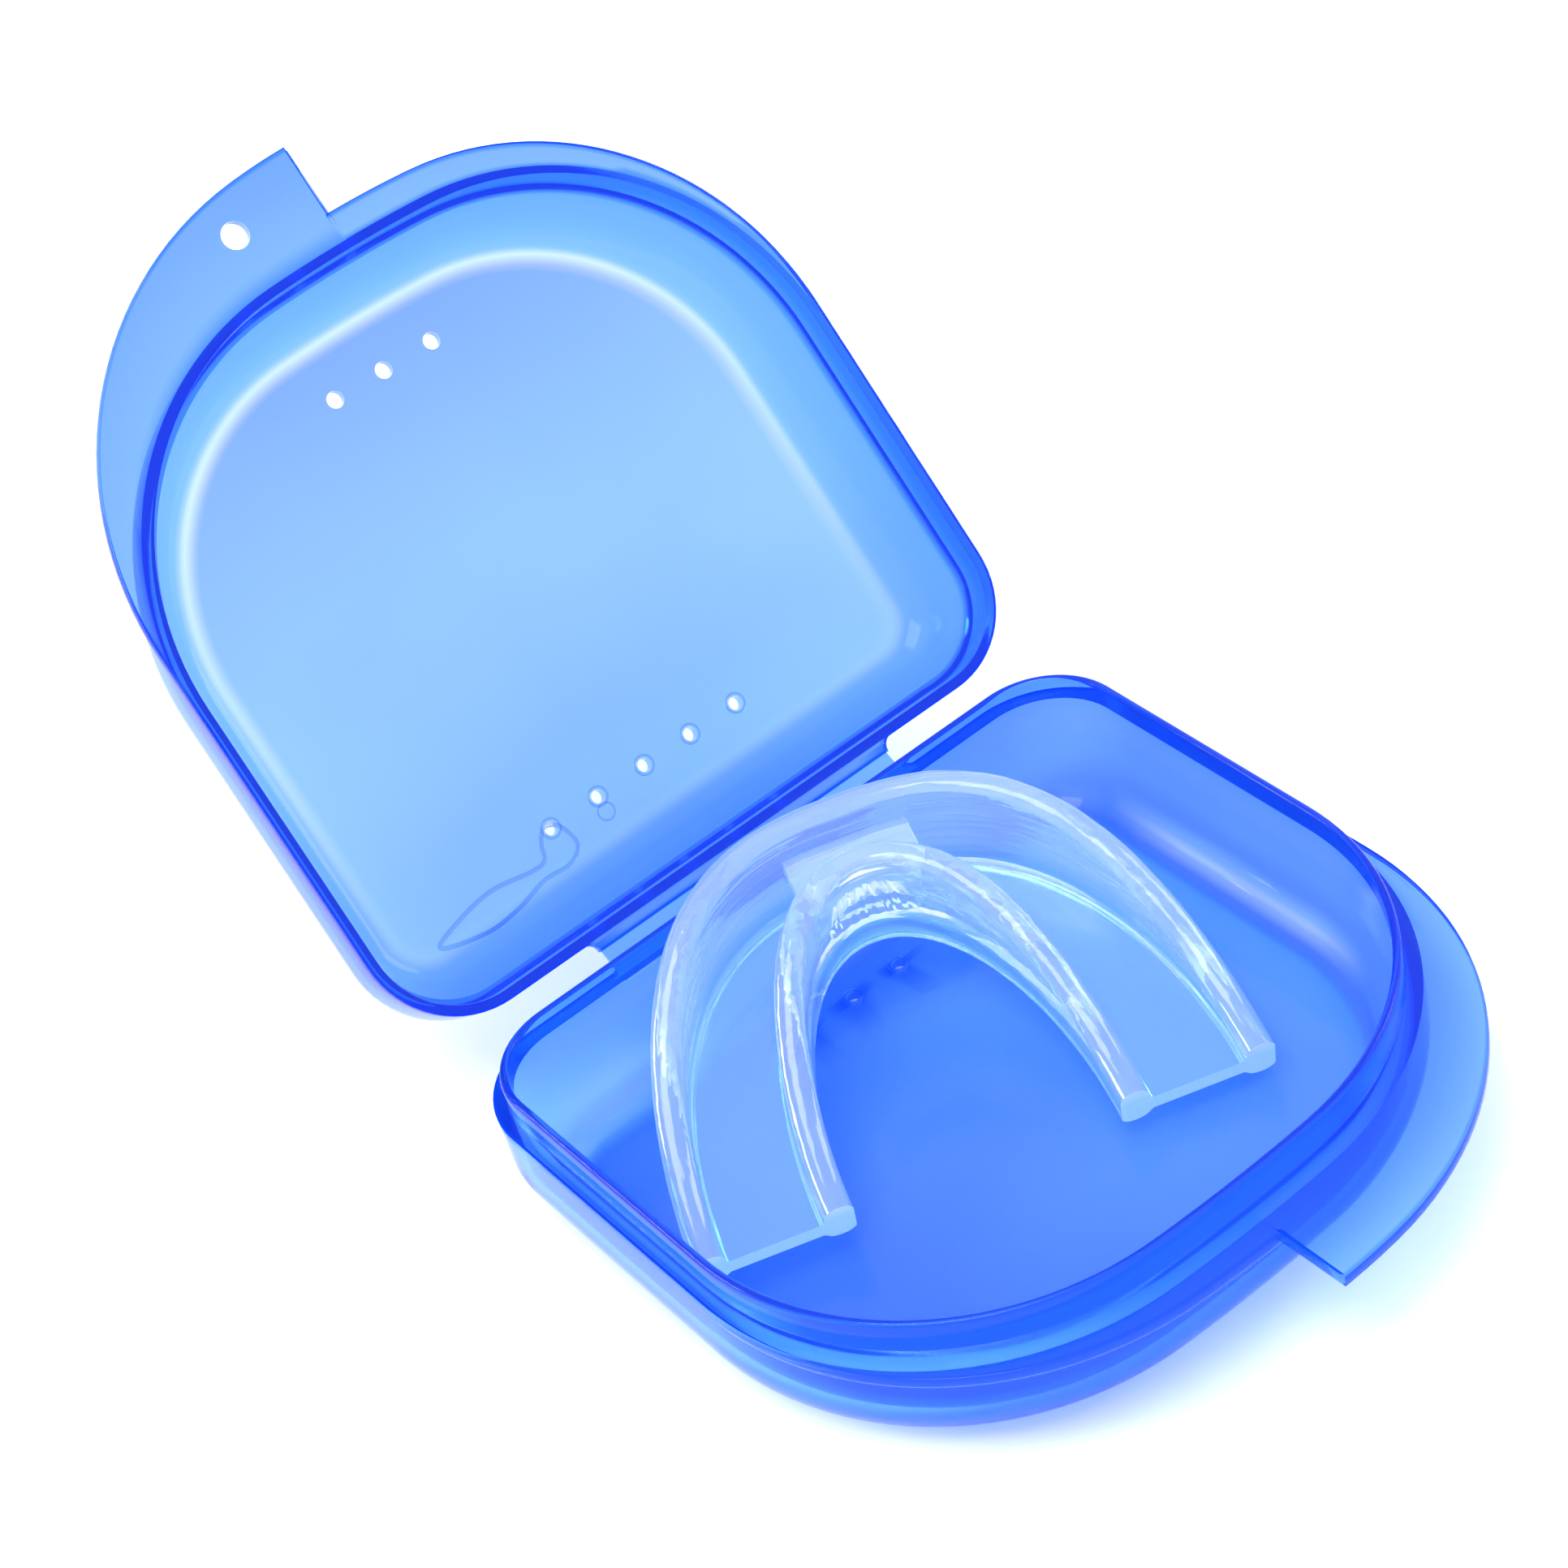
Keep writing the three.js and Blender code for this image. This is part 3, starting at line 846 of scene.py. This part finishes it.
NOISE_LOW, NOISE_HIGH = 0.3, 0.7  # noise from here to there spans a ramp or a range
COAT_ROUGHNESS = 0.06
BUMP_DISTANCE = 0.0003
CASE_BUMP, GUARD_BUMP = 0.12, 0.38
STREAK_SCALE = (0.006, 1.1, 1.1)  # along, across and up the guard
PLATE_TINT = (0.42, 0.76, 1.0, 1)
PLATE_TO_WALL = (0.2, 2.0)  # heights over which the plate's tint gives way to the wall's


def noise(nodes, links, coords, scale, detail=3.0):
    """A noise texture on object coordinates."""
    made = nodes.new("ShaderNodeTexNoise")
    made.inputs["Scale"].default_value = scale
    made.inputs["Detail"].default_value = detail
    links.new(coords.outputs["Object"], made.inputs["Vector"])
    return made.outputs["Fac"]


def ramp(nodes, links, source, low, high):
    """A colour between low and high, by a noise."""
    made = nodes.new("ShaderNodeValToRGB")
    for element, position, colour in zip(
        made.color_ramp.elements, (NOISE_LOW, NOISE_HIGH), (low, high)
    ):
        element.position = position
        element.color = colour
    links.new(source, made.inputs["Fac"])
    return made.outputs["Color"]


def value_range(nodes, links, source, low, high):
    """A value between low and high, by a noise."""
    made = nodes.new("ShaderNodeMapRange")
    made.inputs["From Min"].default_value = NOISE_LOW
    made.inputs["From Max"].default_value = NOISE_HIGH
    made.inputs["To Min"].default_value = low
    made.inputs["To Max"].default_value = high
    links.new(source, made.inputs["Value"])
    return made.outputs["Result"]


def clear_plastic(name, look, roughness, ior, transmission, absorb, glow, coat):
    """A see-through moulded plastic whose tint, gloss and surface vary slightly.

    absorb is a colour and a density, and glow a colour and a strength; the glow is painted light,
    an emission that fills in shadows and dark edges.
    """
    material, nodes, links = new_material(name)
    out = nodes.new("ShaderNodeOutputMaterial")
    shader = nodes.new("ShaderNodeBsdfPrincipled")
    coords = nodes.new("ShaderNodeTexCoord")
    tint, height, strength = look(nodes, links, coords)
    links.new(tint, shader.inputs["Base Color"])
    links.new(
        value_range(nodes, links, noise(nodes, links, coords, 160.0, 4.0), *roughness),
        shader.inputs["Roughness"],
    )
    shader.inputs["IOR"].default_value = ior
    shader.inputs["Transmission Weight"].default_value = transmission
    shader.inputs["Coat Weight"].default_value = coat
    shader.inputs["Coat Roughness"].default_value = COAT_ROUGHNESS
    # The emission is painted light: a faint glow, though the plastic is no lamp.
    shader.inputs["Emission Color"].default_value = glow[0]
    shader.inputs["Emission Strength"].default_value = glow[1]
    bump_node = nodes.new("ShaderNodeBump")
    bump_node.inputs["Strength"].default_value = strength
    bump_node.inputs["Distance"].default_value = BUMP_DISTANCE
    links.new(height, bump_node.inputs["Height"])
    links.new(bump_node.outputs["Normal"], shader.inputs["Normal"])
    links.new(shader.outputs["BSDF"], out.inputs["Surface"])
    volume = nodes.new("ShaderNodeVolumeAbsorption")
    volume.inputs["Color"].default_value = absorb[0]
    volume.inputs["Density"].default_value = absorb[1]
    links.new(volume.outputs["Volume"], out.inputs["Volume"])
    return material


def case_look(nodes, links, coords):
    """Blue from the painted tint, with faint cloudiness, and a nearly even surface."""
    painted = nodes.new("ShaderNodeAttribute")
    painted.attribute_name = "tint"
    clouds = noise(nodes, links, coords, 40.0)
    cloud = ramp(nodes, links, clouds, (0.93, 0.95, 1.0, 1), (1.0, 1.0, 1.0, 1))
    mixed = nodes.new("ShaderNodeMix")
    mixed.data_type = "RGBA"
    mixed.blend_type = "MULTIPLY"
    mixed.inputs["Factor"].default_value = 1.0
    links.new(painted.outputs["Color"], mixed.inputs["A"])
    links.new(cloud, mixed.inputs["B"])
    return mixed.outputs["Result"], noise(nodes, links, coords, 90.0, 2.0), CASE_BUMP


def guard_look(nodes, links, _coords):
    """Nearly clear, with fine streaks along the guard in both tint and surface."""
    painted = nodes.new("ShaderNodeAttribute")
    painted.attribute_name = "flow"
    mapping = nodes.new("ShaderNodeMapping")
    mapping.inputs["Scale"].default_value = STREAK_SCALE
    links.new(painted.outputs["Vector"], mapping.inputs["Vector"])
    streaks = nodes.new("ShaderNodeTexNoise")
    streaks.inputs["Scale"].default_value = 1.0
    streaks.inputs["Detail"].default_value = 1.5
    links.new(mapping.outputs["Vector"], streaks.inputs["Vector"])
    streak = streaks.outputs["Fac"]
    walls = ramp(nodes, links, streak, (0.86, 0.89, 1.0, 1), (0.98, 0.975, 1.0, 1))
    parts = nodes.new("ShaderNodeSeparateXYZ")
    links.new(painted.outputs["Vector"], parts.inputs["Vector"])
    rise = nodes.new("ShaderNodeMapRange")
    rise.inputs["From Min"].default_value = PLATE_TO_WALL[0]
    rise.inputs["From Max"].default_value = PLATE_TO_WALL[1]
    links.new(parts.outputs["Z"], rise.inputs["Value"])
    mixed = nodes.new("ShaderNodeMix")
    mixed.data_type = "RGBA"
    mixed.inputs["A"].default_value = PLATE_TINT
    links.new(rise.outputs["Result"], mixed.inputs["Factor"])
    links.new(walls, mixed.inputs["B"])
    return mixed.outputs["Result"], streak, GUARD_BUMP


def floor_material():
    material, nodes, links = new_material("pale_floor")
    out = nodes.new("ShaderNodeOutputMaterial")
    shader = nodes.new("ShaderNodeBsdfPrincipled")
    coords = nodes.new("ShaderNodeTexCoord")
    patches = noise(nodes, links, coords, 3.0)
    tint = ramp(nodes, links, patches, (0.86, 0.87, 0.89, 1), (0.9, 0.9, 0.91, 1))
    links.new(tint, shader.inputs["Base Color"])
    shader.inputs["Roughness"].default_value = 0.75
    links.new(shader.outputs["BSDF"], out.inputs["Surface"])
    return material


CASE_PLASTIC = clear_plastic(
    "clear_blue_plastic", case_look,
    roughness=(0.05, 0.11), ior=1.2, transmission=1.0,
    absorb=((0.1, 0.4, 1.0, 1), 120.0), glow=((0.02, 0.2, 1.0, 1), 0.12), coat=0.12,
)
GUARD_PLASTIC = clear_plastic(
    "clear_guard_plastic", guard_look,
    roughness=(0.04, 0.11), ior=1.4, transmission=0.92,
    absorb=((0.87, 0.9, 1.0, 1), 10.0), glow=((0.29, 0.52, 1.0, 1), 0.13), coat=0.4,
)
# The cut ends glow more: painted light that makes them read as bright frosted plastic.
GUARD_CUT = clear_plastic(
    "cut_guard_plastic", guard_look,
    roughness=(0.35, 0.5), ior=1.4, transmission=0.5,
    absorb=((0.8, 0.9, 1.0, 1), 10.0), glow=((0.5, 0.75, 1.0, 1), 0.3), coat=0.0,
)

# ---- the object ----

base = build_base(CASE_PLASTIC)
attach(base, "base")
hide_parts("base_shell")

lid = build_lid(CASE_PLASTIC)
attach(lid, "lid")
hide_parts("lid_shell")

film, film_start, film_end = build_film(CASE_PLASTIC)
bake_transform(film)
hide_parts("hinge_film")

guard = build_guard(GUARD_PLASTIC, GUARD_CUT)
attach(guard, "mouthguard")
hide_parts("guard_outer_wall", "guard_inner_wall", "guard_bite_plate", "guard_front_bridge")

# ---- floor, light and camera ----

FLOOR_REACH, FLOOR_HEIGHT = 3.0, -0.0002
WORLD_TINT, WORLD_STRENGTH = (0.97, 0.985, 1.0, 1), 1.15
# Name, place, target, size and power of each light.
LIGHTS = [
    ("key", (-0.25, -0.1, 0.9), (0, 0, 0.03), (0.5, 0.5), 5.0),
    ("side", (0.8, -0.2, 0.45), (0, 0, 0.03), (0.25, 0.6), 2.5),
    ("strip", (-0.85, 0.7, 0.55), (0.03, 0, 0.01), (0.55, 0.3), 9.0),
]
CAMERA_RIGHT = Vector((0.76976489, -0.59736514, -0.22498199))
CAMERA_UP = Vector((0.53456676, 0.41064916, 0.73865124))
CAMERA_SPOT = Vector((-126.78, -223.13, 260.87)) * MM
CAMERA_LENS, CAMERA_SENSOR = 85.52, 36


def build_floor():
    mesh = bpy.data.meshes.new("floor")
    bm = bmesh.new()
    bmesh.ops.create_grid(bm, x_segments=2, y_segments=2, size=FLOOR_REACH)
    bm.to_mesh(mesh)
    bm.free()
    mesh.materials.append(floor_material())
    made = bpy.data.objects.new("floor", mesh)
    made.location.z = FLOOR_HEIGHT
    bpy.context.scene.collection.objects.link(made)


def area_light(name, spot, target, size, power):
    data = bpy.data.lights.new(name, "AREA")
    data.shape = "RECTANGLE"
    data.size, data.size_y = size
    data.energy = power
    made = bpy.data.objects.new(name, data)
    made.location = spot
    made.rotation_euler = (Vector(target) - Vector(spot)).to_track_quat("-Z", "Y").to_euler()
    bpy.context.scene.collection.objects.link(made)


def build_world():
    world = bpy.data.worlds.new("studio")
    bpy.context.scene.world = world
    world.use_nodes = True
    background = world.node_tree.nodes["Background"]
    background.inputs["Color"].default_value = WORLD_TINT
    background.inputs["Strength"].default_value = WORLD_STRENGTH


def build_camera():
    data = bpy.data.cameras.new("camera")
    data.sensor_width = CAMERA_SENSOR
    data.lens = CAMERA_LENS
    data.clip_start, data.clip_end = 0.01, 20
    made = bpy.data.objects.new("camera", data)
    back = CAMERA_RIGHT.cross(CAMERA_UP).normalized()
    turn = Matrix((CAMERA_RIGHT, CAMERA_UP, back)).transposed().to_4x4()
    made.matrix_world = Matrix.Translation(CAMERA_SPOT) @ turn
    bpy.context.scene.collection.objects.link(made)
    bpy.context.scene.camera = made


build_floor()
build_world()
for light in LIGHTS:
    area_light(*light)
build_camera()
bpy.context.scene.view_settings.view_transform = "Standard"
